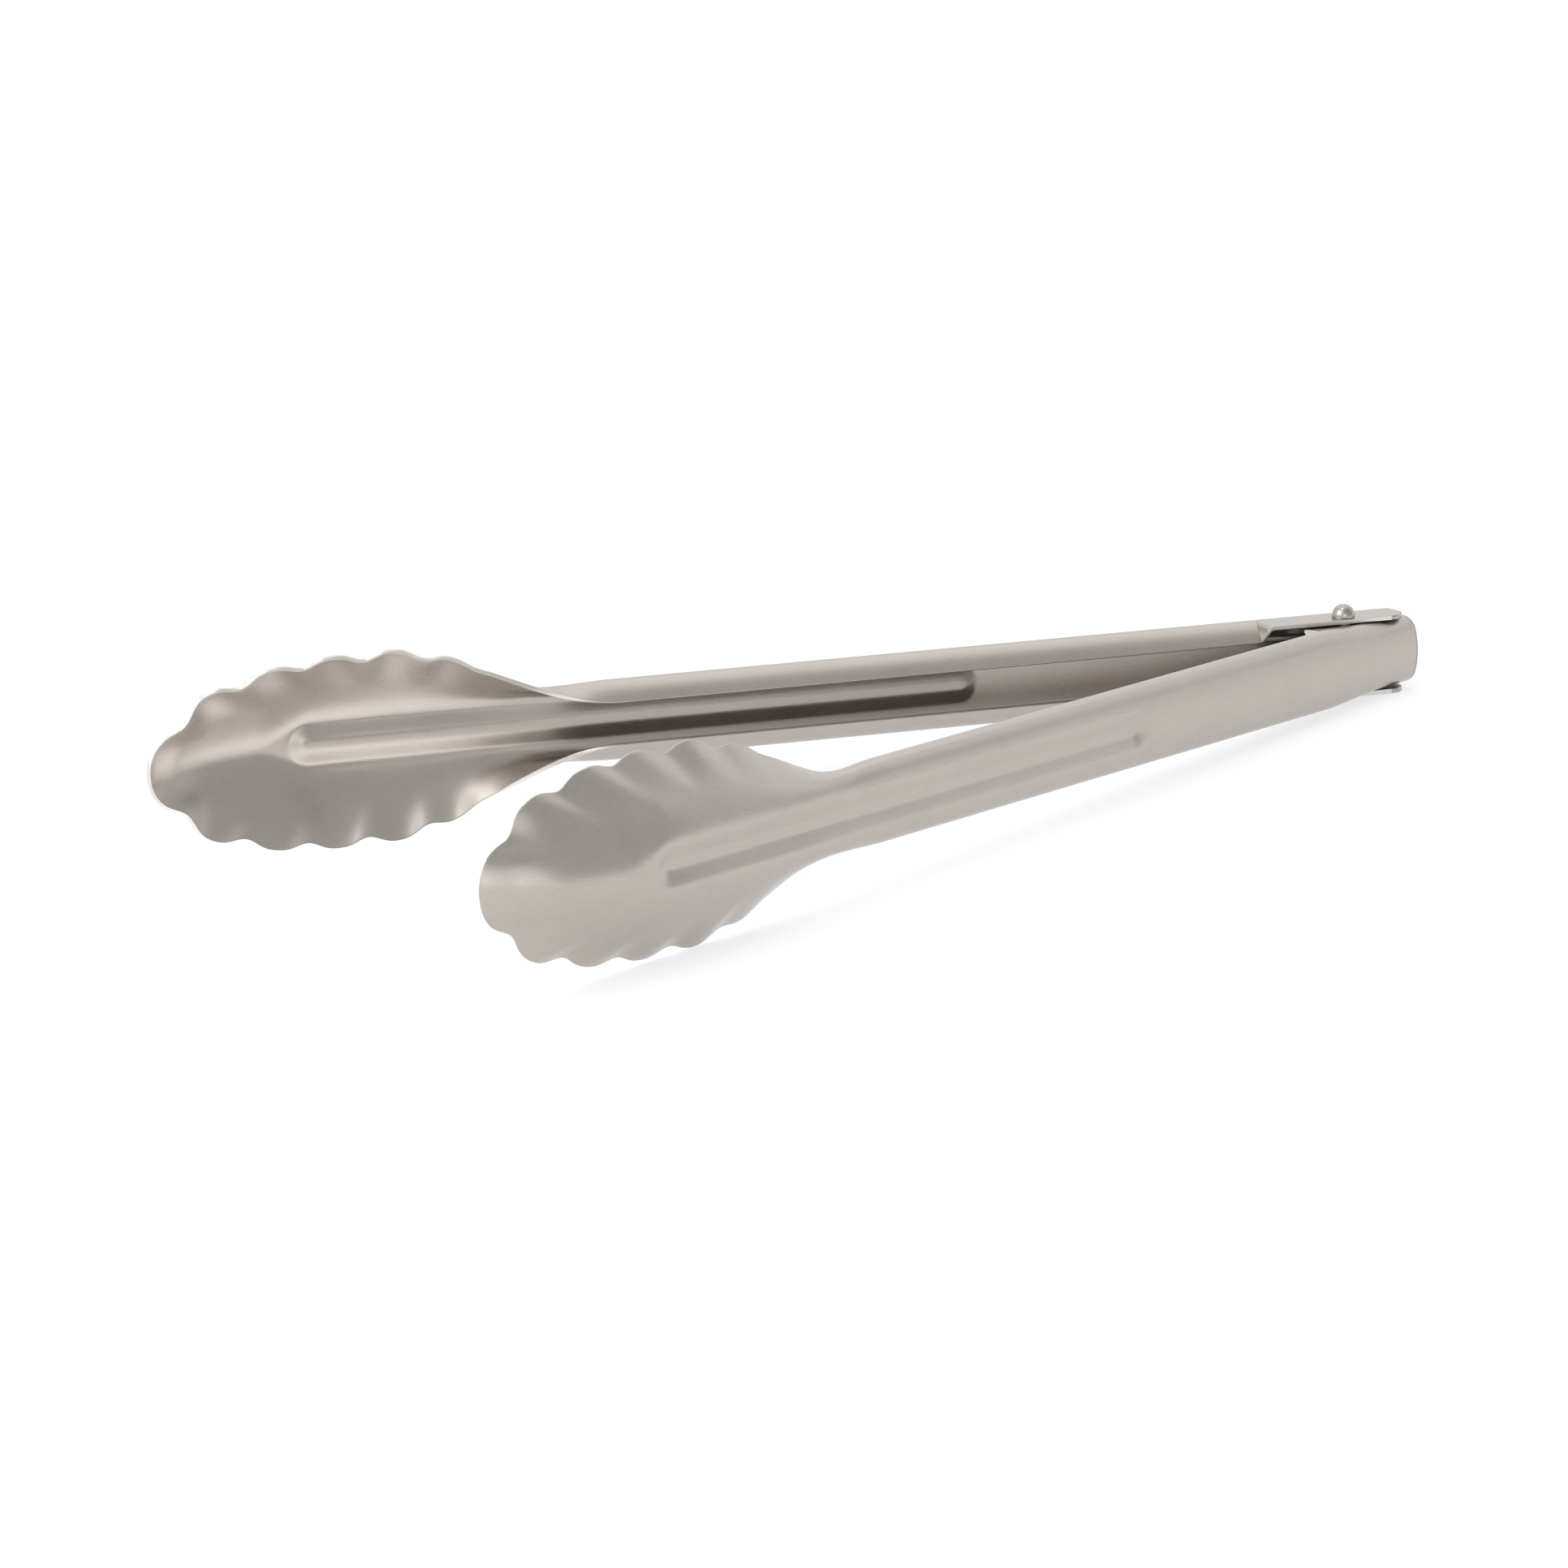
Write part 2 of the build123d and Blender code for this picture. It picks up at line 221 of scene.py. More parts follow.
def lobe_wave(u, blunt=LOBE_BLUNT):
    """+1 on a lobe, -1 in a notch: a cosine of the pitch, less a share of the cosine of twice
    its angle, which makes lobes blunt and notches narrow. It fades in along the neck."""
    angle = 2.0 * math.pi * (u - LOBE_NOTCH) / LOBE_PITCH
    wave = -np.cos(angle) - blunt * (np.cos(2.0 * angle) - 1.0)
    return wave * smooth((u - LOBE_START) / (LOBE_FULL - LOBE_START))


def towards_tip(u, side_value, tip_value):
    """side_value along the head's sides, changing smoothly to tip_value round the tip."""
    return side_value + (tip_value - side_value) * smooth((u - FAN_FULL) / TIP_DEEPEN)


def plain_half(u, along):
    """Half width of the outline without scallops: an S curve from the lips to the head's
    middle, then a squared ellipse, where along runs from 0 to 1."""
    rise = smooth((u - NECK_START) / (NECK_END - NECK_START))
    neck = LIP_HALF + (HEAD_HALF - LIP_HALF) * rise
    return np.where(u < HEAD_CENTRE, neck, HEAD_HALF * np.sqrt(1.0 - along ** HEAD_POWER))


def outline(u):
    """Edge of the head for a row whose plain outline point lies at u: that point, moved along
    the outline's normal by the scallop."""
    along = np.clip((u - HEAD_CENTRE) / TIP_LENGTH, 0.0, 1.0)
    plain = plain_half(u, along)
    normal_u = along / TIP_LENGTH
    normal_w = np.sqrt(1.0 - along ** 2) / HEAD_HALF
    size = np.hypot(normal_u, normal_w)
    push = towards_tip(u, LOBE_DEEP, TIP_LOBE_DEEP) * lobe_wave(u)
    return u + push * normal_u / size, plain + push * normal_w / size


def dish(u, w):
    """How far outwards the head's sheet lies at (u, w): a crown line that curls in towards the
    tip, an edge line, and between them a hyperbola that makes a softly rounded keel. Beside
    the rib the crown is flat to the rib's full width, and the keel starts there."""
    along = np.clip((u - HEAD_DROP_START) / (PIN_TO_TIP - HEAD_DROP_START), 0.0, 1.0)
    crown = CROWN_OUT - (CROWN_OUT + TIP_IN) * along ** HEAD_DROP_POWER
    mark = (u - EDGE_MARK) / (PIN_TO_TIP - EDGE_MARK)
    edge = np.minimum(EDGE_OUT - EDGE_FALL * mark - EDGE_CURL * mark ** 2, crown)
    almost = 0.9999
    half = plain_half(u, np.clip((u - HEAD_CENTRE) / (PIN_TO_TIP - HEAD_CENTRE), 0.0, almost))
    flat = KEEL_FLAT * (1.0 - smooth((u - RIB_END + RIB_END_SHIFT) / RIB_END_FADE))
    s = np.maximum(np.abs(w) - flat, 0.0) / (half - flat)
    band = KEEL_BAND / np.maximum(half - flat, KEEL_BAND / KEEL_SOFTEST)
    keel = (np.hypot(s, band) - band) / (np.hypot(1.0, band) - band)
    return crown - (crown - edge) * keel


print("head", round(2.0 * (HEAD_HALF + LOBE_DEEP), 1), "mm wide,",
      "scallops", LOBE_PITCH, "mm apart")

# %% [markdown]
# ## The rib
# A long rib is pressed inwards from the middle of the handle into the head. It stiffens the
# web. From outside it is a groove with sloping walls, a narrow floor and round ends.

# %% Rib
RIB_HALF = 4.4
RIB_WALL = 3.2
RIB_DEEP = 1.3
RIB_CREASE = 0.12


def rib(u, w):
    """Depth of the rib: full on the floor and falling evenly over the wall, by distance from
    the rib's middle line, whose ends are rounded. Two hyperbolas round the creases."""
    beyond = np.maximum(0.0, np.maximum(RIB_START + RIB_HALF - u, u - (RIB_END - RIB_HALF)))
    climb = (RIB_HALF - np.hypot(beyond, w)) / RIB_WALL
    low, high = np.hypot(climb, RIB_CREASE), np.hypot(climb - 1.0, RIB_CREASE)
    return RIB_DEEP * (low - high + 1.0) / 2.0


print("rib", RIB_END - RIB_START, "mm long,", RIB_DEEP, "mm deep")

# %% [markdown]
# ## One arm as a grid
# Each row of the grid is one section of the arm and each column runs from the tail to the
# tip. The three sections are mixed with smooth weights: ear to channel within about a
# millimetre, which makes the step in the lip, and channel to dish along the neck. The tail
# row isn't straight: the outer arm's end is rounded about the pin, with a small arc at each
# ear's corner, and the inner arm's ears have a cut corner that meets the outer web when the
# tongs are open.

# %% Middle surface of the sheet
OUTER_EAR_FRONT, INNER_EAR_FRONT = 20.0, 12.0
OUTER_END_RADIUS = 15.18
EAR_CORNER = 4.0
STOP_OUT = 6.6
STOP_SOFTNESS = 0.8
TAIL_ROWS_END = -2.0
EAR_MARGIN, RIB_MARGINS = 3.0, (2.0, 9.0)
TIP_ROWS = 104


def row_marks(ear_front):
    """Distances of the rows as runs of (from, to, rows): close where the shape changes
    quickly, and by equal angles of the ellipse round the tip, where the outline turns back."""
    step_from, step_to = ear_front - EAR_MARGIN, ear_front + EAR_MARGIN
    rib_from, rib_to = RIB_START - RIB_MARGINS[0], RIB_START + RIB_MARGINS[1]
    runs = [(TAIL_ROWS_END, step_from, 10), (step_from, step_to, 40), (step_to, rib_from, 26),
            (rib_from, rib_to, 18), (rib_to, NECK_START, 34), (NECK_START, HEAD_CENTRE, 80)]
    marks = np.concatenate([np.linspace(a, b, n, endpoint=False) for a, b, n in runs])
    angle = np.linspace(0.0, math.pi / 2.0, TIP_ROWS)
    return np.concatenate([marks, HEAD_CENTRE + TIP_LENGTH * np.sin(angle)])


def tail_end(v, side):
    """u of an arm's very end for a column that lies at v there. The outer arm ends in an arc
    about the pin, with a small arc at the ear's corner. The inner arm ends at the softer of
    two lines: the tail, and the slanted cut that stops the opening."""
    if side > 0:
        round_v = EAR_CORNER - EAR_REACH
        round_u = EAR_CORNER - math.sqrt(OUTER_END_RADIUS ** 2 - round_v ** 2)
        corner = round_u - np.sqrt(np.maximum(EAR_CORNER ** 2 - (round_v - v) ** 2, 0.0))
        arc = -np.sqrt(np.maximum(OUTER_END_RADIUS ** 2 - v ** 2, 1.0))
        return np.where(v < round_v, corner, arc)
    cut = -(STOP_OUT + v * math.cos(2.0 * OPEN_HALF)) / math.sin(2.0 * OPEN_HALF)
    return STOP_SOFTNESS * np.logaddexp(cut / STOP_SOFTNESS, -TAIL / STOP_SOFTNESS)


def grid_marks(side, ear_front, ear_half, columns=97, tail_rows=16):
    """Row marks and column shares t from -1 to 1, as two grids. Two columns lie close to the
    edges, and the first rows run from the shaped end to TAIL_ROWS_END."""
    near_edge = 0.012
    column = np.linspace(-1.0, 1.0, columns)
    column = np.sort(np.concatenate([column, [-1.0 + near_edge, 1.0 - near_edge]]))
    marks = row_marks(ear_front)
    mark = np.repeat(marks[:, None], column.size, axis=1)
    ends = tail_end(ear(np.abs(column), ear_half, ear_half)[1], side)
    share = np.linspace(0.0, 1.0, tail_rows, endpoint=False)[:, None]
    mark = np.vstack([ends[None, :] + (TAIL_ROWS_END - ends[None, :]) * share, mark])
    return mark, np.repeat(column[None, :], len(mark), axis=0)


def head_sheet(mark, s):
    """(u, v, w) on the head: straight rows from a point on the spine to the edge, lying on the
    dish, and raised near the edge by the flutes."""
    edge_u, edge_w = outline(mark)
    spine_u = mark - FAN * smooth((mark - FAN_START) / (FAN_FULL - FAN_START))
    u = spine_u + (edge_u - spine_u) * s
    w = edge_w * s
    flute = towards_tip(mark, FLUTE, TIP_FLUTE) * lobe_wave(mark, FLUTE_BLUNT)
    return u, dish(u, w) + flute * smooth((s - 1.0 + FLUTE_REACH) / FLUTE_REACH), w


def handle_sheet(mark, s, ear_front, ear_half):
    """(v, w) on the handle: the channel, narrowed towards the inner ears, flared at the lips
    where the neck opens, and changed to the ear section behind ear_front."""
    w, v = channel(s)
    half = ear_half + (ARM_HALF - ear_half) * np.clip((mark - NARROW_START) / NARROW_LENGTH, 0.0, 1.0)
    flare = (outline(mark)[1] - LIP_HALF) * (mark > NECK_START)
    w = w * half / ARM_HALF + flare * s ** 3
    ear_w, ear_v = ear(s, half, ear_half)
    to_ear = 1.0 - smooth((mark - ear_front + EAR_STEP / 2.0) / EAR_STEP)
    return v + (ear_v - v) * to_ear, w + (ear_w - w) * to_ear


def middle_surface(side):
    """Grid of (u, v, w) and column share for one arm: handle and head are mixed with one
    smooth weight along the neck, and the rib is pressed in last."""
    outer = OUTER_EAR_FRONT, EAR_HALF
    inner = INNER_EAR_FRONT, INNER_EAR_HALF
    ear_front, ear_half = outer if side > 0 else inner
    mark, t = grid_marks(side, ear_front, ear_half)
    s = np.abs(t)
    head_u, head_v, head_w = head_sheet(mark, s)
    handle_v, handle_w = handle_sheet(mark, s, ear_front, ear_half)
    to_head = smooth((mark - NECK_START) / (EDGE_MARK + NECK_FADE - NECK_START))
    u = mark + (head_u - mark) * to_head
    v = handle_v + (head_v - handle_v) * to_head
    w = handle_w + (head_w - handle_w) * to_head
    return u, v - rib(u, w), w * np.sign(t), t


for name, side in (("outer", 1), ("inner", -1)):
    grid = middle_surface(side)
    print(name, "grid", grid[0].shape, "widest", round(2.0 * grid[2].max(), 2), "mm")

# %% [markdown]
# ## From a surface to a sheet
# A Solidify modifier could give the thickness, but the sheared edge is what the eye catches
# on stamped tongs, so it is drawn: each section becomes a closed ring of inside face, edge,
# outside face, edge, and the edge has its own slightly swollen profile. Rings joined in a row
# make the sheet, the first ring is closed with a strip of faces, and the last one folds flat
# on itself at the tip, where merging its doubles closes it.

# %% Sheet from a middle surface
EDGE_STEPS = 5
EDGE_SWELL = 0.07
EDGE_SQUARENESS = 0.6
WELD = 2e-6
RUBBED_START, RUBBED_FADE = 0.05, 2.0
DECIMETRE = 100.0


def unit(a):
    """Each vector of an array divided by its length."""
    return a / np.maximum(np.linalg.norm(a, axis=-1, keepdims=True), 1e-12)


def inward_normal(middle, across, side):
    """Cross product of the steps along and across the sheet, turned towards the hollow. It is
    levelled in the last row, where both halves meet."""
    inward = unit(np.cross(np.gradient(middle, axis=0), across)) * (-side)
    inward[-1] = unit(inward[-1] - (inward[-1] @ UP)[:, None] * UP)
    spine = middle.shape[1] // 2
    inward[-1, spine] = inward[-2, spine]
    return inward


def sheet_rings(u, v, w, side):
    """Ring points: the middle surface plus and minus half a sheet along its normal, and round
    each edge half a turn from one face to the other. An edge point is lifted by the cosine of
    its turn to the power EDGE_SQUARENESS, and swells out by its sine."""
    middle = place(u, v, w, side)
    across = np.gradient(middle, axis=1)
    inward = inward_normal(middle, across, side)
    half = MM * SHEET / 2.0
    turns = math.pi * np.arange(1, EDGE_STEPS + 1) / (EDGE_STEPS + 1)
    lift = np.sign(np.cos(turns)) * np.abs(np.cos(turns)) ** EDGE_SQUARENESS
    swell = MM * EDGE_SWELL * np.sin(turns)
    rims = []
    for column, out in ((0, -unit(across[:, 0])), (-1, unit(across[:, -1]))):
        rims.append(middle[:, column, None] + half * lift[None, :, None] * inward[:, column, None]
                    + swell[None, :, None] * out[:, None])
    inside, outside = middle + half * inward, middle - half * inward
    return np.concatenate([inside, rims[1], outside[:, ::-1], rims[0][:, ::-1]], axis=1)


def ring_faces(rows, size):
    """Quads between neighbouring rings, as an index array."""
    row = np.arange(rows - 1)[:, None] * size
    here = np.arange(size)[None, :]
    there = (here + 1) % size
    return np.stack([row + here, row + there, row + size + there, row + size + here], -1).reshape(-1, 4)


def cap_faces(columns):
    """Faces that close the first ring: a strip from face to face, and a small fan over the
    swollen edge at each end."""
    size = 2 * columns + 2 * EDGE_STEPS
    one = np.arange(columns)
    other = columns + EDGE_STEPS + np.arange(columns)[::-1]
    faces = [[one[i + 1], one[i], other[i], other[i + 1]] for i in range(columns - 1)]
    faces.append([one[-1], other[-1]] + list(range(columns + EDGE_STEPS - 1, columns - 1, -1)))
    faces.append([other[0], one[0]] + list(range(size - 1, size - 1 - EDGE_STEPS, -1)))
    return faces


def mesh_object(name, points, faces, layers=None, uv=None):
    """A smooth shaded mesh object from arrays; layers are named values per point, and uv is a
    pair per point."""
    mesh = bpy.data.meshes.new(name)
    mesh.from_pydata(points.reshape(-1, 3).tolist(), [], [list(map(int, f)) for f in faces])
    for layer, values in (layers or {}).items():
        attribute = mesh.attributes.new(layer, "FLOAT", "POINT")
        attribute.data.foreach_set("value", np.asarray(values, np.float32).ravel())
    if uv is not None:
        corner = np.empty(len(mesh.loops), np.int32)
        mesh.loops.foreach_get("vertex_index", corner)
        uv_layer = mesh.uv_layers.new(name="grain")
        uv_layer.data.foreach_set("uv", np.asarray(uv, np.float32).reshape(-1, 2)[corner].ravel())
    mesh.shade_smooth()
    obj = bpy.data.objects.new(name, mesh)
    bpy.context.scene.collection.objects.link(obj)
    return obj


def merge_doubles(obj, distance):
    """Joins points that lie on each other, and turns every face outwards."""
    work = bmesh.new()
    work.from_mesh(obj.data)
    before = len(work.verts)
    bmesh.ops.remove_doubles(work, verts=work.verts, dist=distance)
    bmesh.ops.dissolve_degenerate(work, edges=work.edges, dist=distance)
    bmesh.ops.recalc_face_normals(work, faces=work.faces)
    open_edges = sum(1 for e in work.edges if not e.is_manifold)
    work.to_mesh(obj.data)
    work.free()
    print(obj.name, before - len(obj.data.vertices), "doubles merged,", open_edges, "open edges,",
          len(obj.data.polygons), "faces")


def ring_layout(values, edge_value):
    """Spreads a per-point value of the middle surface over the rings; edges get edge_value,
    or the value beside them when it is None."""
    low, high = values[:, :1], values[:, -1:]
    if edge_value is not None:
        low = high = np.full_like(values[:, :1], edge_value)
    return np.concatenate([values, np.repeat(high, EDGE_STEPS, 1), values[:, ::-1],
                           np.repeat(low, EDGE_STEPS, 1)], axis=1)


def make_arm(name, body, node, side):
    """One arm: rings, faces, a grain map in decimetres along and across, and marks that say
    where the edge and the rubbed ear are."""
    u, v, w, t = middle_surface(side)
    rings = sheet_rings(u, v, w, side)
    rows, size = rings.shape[:2]
    faces = list(ring_faces(rows, size)) + cap_faces(u.shape[1])
    steps = np.hypot(np.diff(w, axis=1), np.diff(v, axis=1))
    across = np.concatenate([np.zeros((rows, 1)), np.cumsum(steps, axis=1)], axis=1)
    across = across - across[:, u.shape[1] // 2, None]
    grain = np.stack([ring_layout(u, None), ring_layout(across, None)], -1) / DECIMETRE
    on_flange = smooth((np.abs(t) - BEND_SHARE) / RUBBED_START)
    rubbed = on_flange * (1.0 - smooth((u - INNER_EAR_FRONT) / RUBBED_FADE)) * (side < 0)
    layers = {"bare_edge": ring_layout(np.zeros_like(u), 1.0), "rubbed": ring_layout(rubbed, None)}
    arm = mesh_object(name, rings, faces, layers, grain)
    merge_doubles(arm, WELD)
    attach(arm, body)
    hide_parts(node)
    return arm


outer_arm = make_arm("outer_arm_sheet", "outer", "outer_arm", 1)
inner_arm = make_arm("inner_arm_sheet", "inner", "inner_arm", -1)

# %% [markdown]
# ## The rivet
# A turned pin with a ball-like head. The lower end was peened over the ear into a low,
# slightly domed foot. It is a profile of radius against height, carried round the pin's axis.
# The ears have no drilled holes here: the shank simply passes through the sheet. The CAD
# model holds the true bores.

# %% Rivet
EAR_FACE = EAR_HALF + SHEET / 2.0
DOME_RADIUS, DOME_HEIGHT = 2.75, 3.2
SHANK_RADIUS = 2.0
FOOT_RADIUS, FOOT_HEIGHT = 2.9, 0.4
FOOT_SQUARENESS = 0.35
SHADE_ROW = 0.4


def rivet_profile():
    """Radius and height from the dome's top to the foot's middle: most of a circle, the shank,
    and a squared quarter ellipse for the foot."""
    centre = EAR_FACE + DOME_HEIGHT - DOME_RADIUS
    base_angle = math.pi / 2.0 + math.asin((centre - EAR_FACE) / DOME_RADIUS)
    angle = np.linspace(0.0, base_angle, 40)
    dome = np.stack([DOME_RADIUS * np.sin(angle), centre + DOME_RADIUS * np.cos(angle)], -1)
    shank = np.array([[SHANK_RADIUS, EAR_FACE], [SHANK_RADIUS, EAR_FACE - SHADE_ROW],
                      [SHANK_RADIUS, SHADE_ROW - EAR_FACE], [SHANK_RADIUS, -EAR_FACE]])
    angle = np.linspace(0.0, math.pi / 2.0, 12)
    foot = np.stack([FOOT_RADIUS * np.cos(angle) ** FOOT_SQUARENESS,
                     -EAR_FACE - FOOT_HEIGHT * np.sin(angle)], -1)
    foot[-1, 0] = 0.0
    return np.concatenate([dome, shank, foot])


def turned(name, profile, around=72):
    """A profile of (radius, height) carried round the pin, its poles merged to one point."""
    angle = 2.0 * math.pi * np.arange(around) / around
    radius, height = profile[:, 0, None], profile[:, 1, None]
    points = (PIN + MM * (radius * np.cos(angle))[..., None] * AHEAD
              + MM * (radius * np.sin(angle))[..., None] * SIDE
              + MM * np.repeat(height, around, 1)[..., None] * UP)
    piece = mesh_object(name, points, ring_faces(len(profile), around))
    merge_doubles(piece, WELD)
    return piece


rivet = turned("pivot_rivet_turned", rivet_profile())
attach(rivet, "outer")
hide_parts("pivot_rivet")

# %% [markdown]
# ## The torsion spring
# A hard-drawn wire wound round the pin between the ears, with one straight leg along the
# inside of each arm. The coil is worked out as a helix between the two points where the legs
# touch it.

# %% Spring
WIRE = 1.6
COIL_RADIUS = 4.3
COIL_PITCH = 1.66
WHOLE_TURNS = 5
LEG_LENGTH, LEG_OUT = 30.0, 7.6
STEPS_A_TURN, LEG_STEPS = 40, 12


def leg_end(side):
    """End of a leg, in the plane across the pin, as (ahead, aside)."""
    ahead = -LEG_LENGTH * math.cos(OPEN_HALF) + LEG_OUT * math.sin(OPEN_HALF)
    aside = side * (LEG_LENGTH * math.sin(OPEN_HALF) + LEG_OUT * math.cos(OPEN_HALF))
    return np.array([ahead, aside])


def touch_angle(end, side):
    """Angle at which the line from a leg's end touches the coil's middle circle, on the side
    away from the other leg."""
    direction = math.atan2(end[1], end[0])
    return direction - side * math.acos(COIL_RADIUS / np.hypot(*end))


def spring_path():
    """Middle line of the wire: leg, helix, leg. The helix turns clockwise from the outer leg's
    touching point to the inner leg's, through WHOLE_TURNS more turns, and sinks evenly."""
    ends = leg_end(1.0), leg_end(-1.0)
    first, last = touch_angle(ends[0], 1.0), touch_angle(ends[1], -1.0)
    sweep = (last - first) % (2.0 * math.pi) - 2.0 * math.pi - 2.0 * math.pi * WHOLE_TURNS
    turns = -sweep / (2.0 * math.pi)
    top = turns * COIL_PITCH / 2.0
    angle = first + sweep * np.linspace(0.0, 1.0, int(STEPS_A_TURN * turns))
    coil = np.stack([COIL_RADIUS * np.cos(angle), COIL_RADIUS * np.sin(angle),
                     np.linspace(top, -top, angle.size)], -1)
    share = np.linspace(0.0, 1.0, LEG_STEPS, endpoint=False)[:, None]
    lead = np.append(ends[0], top) * (1.0 - share) + coil[0] * share
    trail = coil[-1] * share[::-1] + np.append(ends[1], -top) * (1.0 - share[::-1])
    print("spring", round(turns, 2), "turns,", round(2.0 * top + WIRE, 2), "mm high")
    return np.concatenate([lead, coil, trail]), top


def wire_tube(name, path, radius, around=16):
    """A round tube on a path: each ring stands square to the path, and the ends close in a
    shallow dome."""
    tangent = unit(np.gradient(path, axis=0))
    level = unit(np.cross(tangent, [0.0, 0.0, 1.0]))
    upright = np.cross(level, tangent)
    angle = 2.0 * math.pi * np.arange(around) / around
    ring = (np.cos(angle)[None, :, None] * level[:, None] + np.sin(angle)[None, :, None] * upright[:, None])
    swell = np.array([0.0, 0.55, 0.85, 1.0])
    back = np.array([0.3, 0.24, 0.12, 0.0]) * radius
    start = path[0] - back[:, None] * tangent[0]
    stop = path[-1] + back[::-1, None] * tangent[-1]
    centres = np.concatenate([start, path[1:-1], stop])
    sizes = radius * np.concatenate([swell, np.ones(len(path) - 2), swell[::-1]])
    rings = np.concatenate([np.repeat(ring[:1], 4, 0), ring[1:-1], np.repeat(ring[-1:], 4, 0)])
    local = centres[:, None] + sizes[:, None, None] * rings
    points = (PIN + MM * (local[..., :1] * AHEAD + local[..., 1:2] * SIDE + local[..., 2:] * UP))
    length = np.concatenate([[0.0], np.cumsum(np.linalg.norm(np.diff(centres, axis=0), axis=1))])
    uv = np.stack(np.broadcast_arrays(length[:, None], radius * angle[None, :]), -1) / DECIMETRE
    piece = mesh_object(name, points, ring_faces(len(centres), around), uv=uv)
    merge_doubles(piece, WELD)
    return piece


path, coil_top = spring_path()
spring = wire_tube("torsion_spring_wire", path, WIRE / 2.0)
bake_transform(spring)
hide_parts("torsion_spring")

# %% [markdown]
# ## Brushed steel
# Belt-ground sheet has fine streaks along its length. They are too fine to model, so they go
# into the colour, the roughness and the normal. One node group makes them for the arms and
# for the spring wire: noise that is stretched along the grain map. The shader keeps a
# constant anisotropy, which spreads reflections across the streaks.

# %% Node helpers
def new_material(name):
    """An empty material with a Principled shader joined to its output."""
    material = bpy.data.materials.new(name)
    material.use_nodes = True
    tree = material.node_tree
    tree.nodes.clear()
    shader = tree.nodes.new("ShaderNodeBsdfPrincipled")
    output = tree.nodes.new("ShaderNodeOutputMaterial")
    tree.links.new(shader.outputs["BSDF"], output.inputs["Surface"])
    return material, tree, shader


def add(tree, kind, values=None, **settings):
    """A node with its settings, and its inputs set or linked by name or number."""
    node = tree.nodes.new(kind)
    for key, value in settings.items():
        setattr(node, key, value)
    for key, value in (values or {}).items():
        if isinstance(value, bpy.types.NodeSocket):
            tree.links.new(value, node.inputs[key])
        else:
            node.inputs[key].default_value = value
    return node


def math_node(tree, operation, a, b=0.0):
    """The result of one sum on two numbers or sockets."""
    return add(tree, "ShaderNodeMath", {0: a, 1: b}, operation=operation).outputs[0]


def total(tree, start, *shares):
    """start plus each socket times its share."""
    for socket, share in shares:
        start = math_node(tree, "ADD", start, math_node(tree, "MULTIPLY", socket, share))
    return start


def noise(tree, vector, scale, detail, roughness):
    """The value of a noise pattern."""
    values = {"Vector": vector, "Scale": scale, "Detail": detail, "Roughness": roughness}
    return add(tree, "ShaderNodeTexNoise", values).outputs["Fac"]


def two_colours(tree, factor, low, high):
    """A colour that runs from low to high as factor runs from 0 to 1."""
    ramp = add(tree, "ShaderNodeValToRGB", {"Fac": factor})
    ramp.color_ramp.elements[0].color = (*low, 1.0)
    ramp.color_ramp.elements[1].color = (*high, 1.0)
    return ramp.outputs["Color"]


def join(tree, shader, colour, rough, height, strength, depth):
    """Joins colour, roughness and a bump of the given depth in metres to a metal's shader."""
    bump = add(tree, "ShaderNodeBump", {"Height": height, "Strength": strength, "Distance": depth})
    tree.links.new(colour, shader.inputs["Base Color"])
    tree.links.new(rough, shader.inputs["Roughness"])
    tree.links.new(bump.outputs["Normal"], shader.inputs["Normal"])
    shader.inputs["Metallic"].default_value = 1.0


# %% Brushed grain group
SCRATCH_ALONG, SCRATCH_ACROSS = 0.35, 0.28
CLOUDS = 7.0


def brushed_grain_group():
    """Fine streaks, longer and wider scratches, and broad cloudy patches. Inputs are the grain
    map and how many streaks fill a decimetre across and along; outputs vary about zero."""
    group = bpy.data.node_groups.new("brushed_grain", "ShaderNodeTree")
    face = group.interface
    face.new_socket("Grain Map", in_out="INPUT", socket_type="NodeSocketVector")
    face.new_socket("Across", in_out="INPUT", socket_type="NodeSocketFloat")
    face.new_socket("Along", in_out="INPUT", socket_type="NodeSocketFloat")
    for name in ("Streaks", "Scratches", "Cloud"):
        face.new_socket(name, in_out="OUTPUT", socket_type="NodeSocketFloat")
    enter, leave = group.nodes.new("NodeGroupInput"), group.nodes.new("NodeGroupOutput")
    split = add(group, "ShaderNodeSeparateXYZ", {0: enter.outputs["Grain Map"]})
    along = math_node(group, "MULTIPLY", split.outputs["X"], enter.outputs["Along"])
    across = math_node(group, "MULTIPLY", split.outputs["Y"], enter.outputs["Across"])
    longer = math_node(group, "MULTIPLY", along, SCRATCH_ALONG)
    wider = math_node(group, "MULTIPLY", across, SCRATCH_ACROSS)
    fine = add(group, "ShaderNodeCombineXYZ", {0: along, 1: across}).outputs[0]
    coarse = add(group, "ShaderNodeCombineXYZ", {0: longer, 1: wider}).outputs[0]
    patterns = {"Streaks": noise(group, fine, 1.0, 3.0, 0.6),
                "Scratches": noise(group, coarse, 1.0, 2.0, 0.5),
                "Cloud": noise(group, enter.outputs["Grain Map"], CLOUDS, 3.0, 0.55)}
    for name, pattern in patterns.items():
        group.links.new(math_node(group, "SUBTRACT", pattern, 0.5), leave.inputs[name])
    return group


GRAIN = brushed_grain_group()
print("grain group has", len(GRAIN.nodes), "nodes")


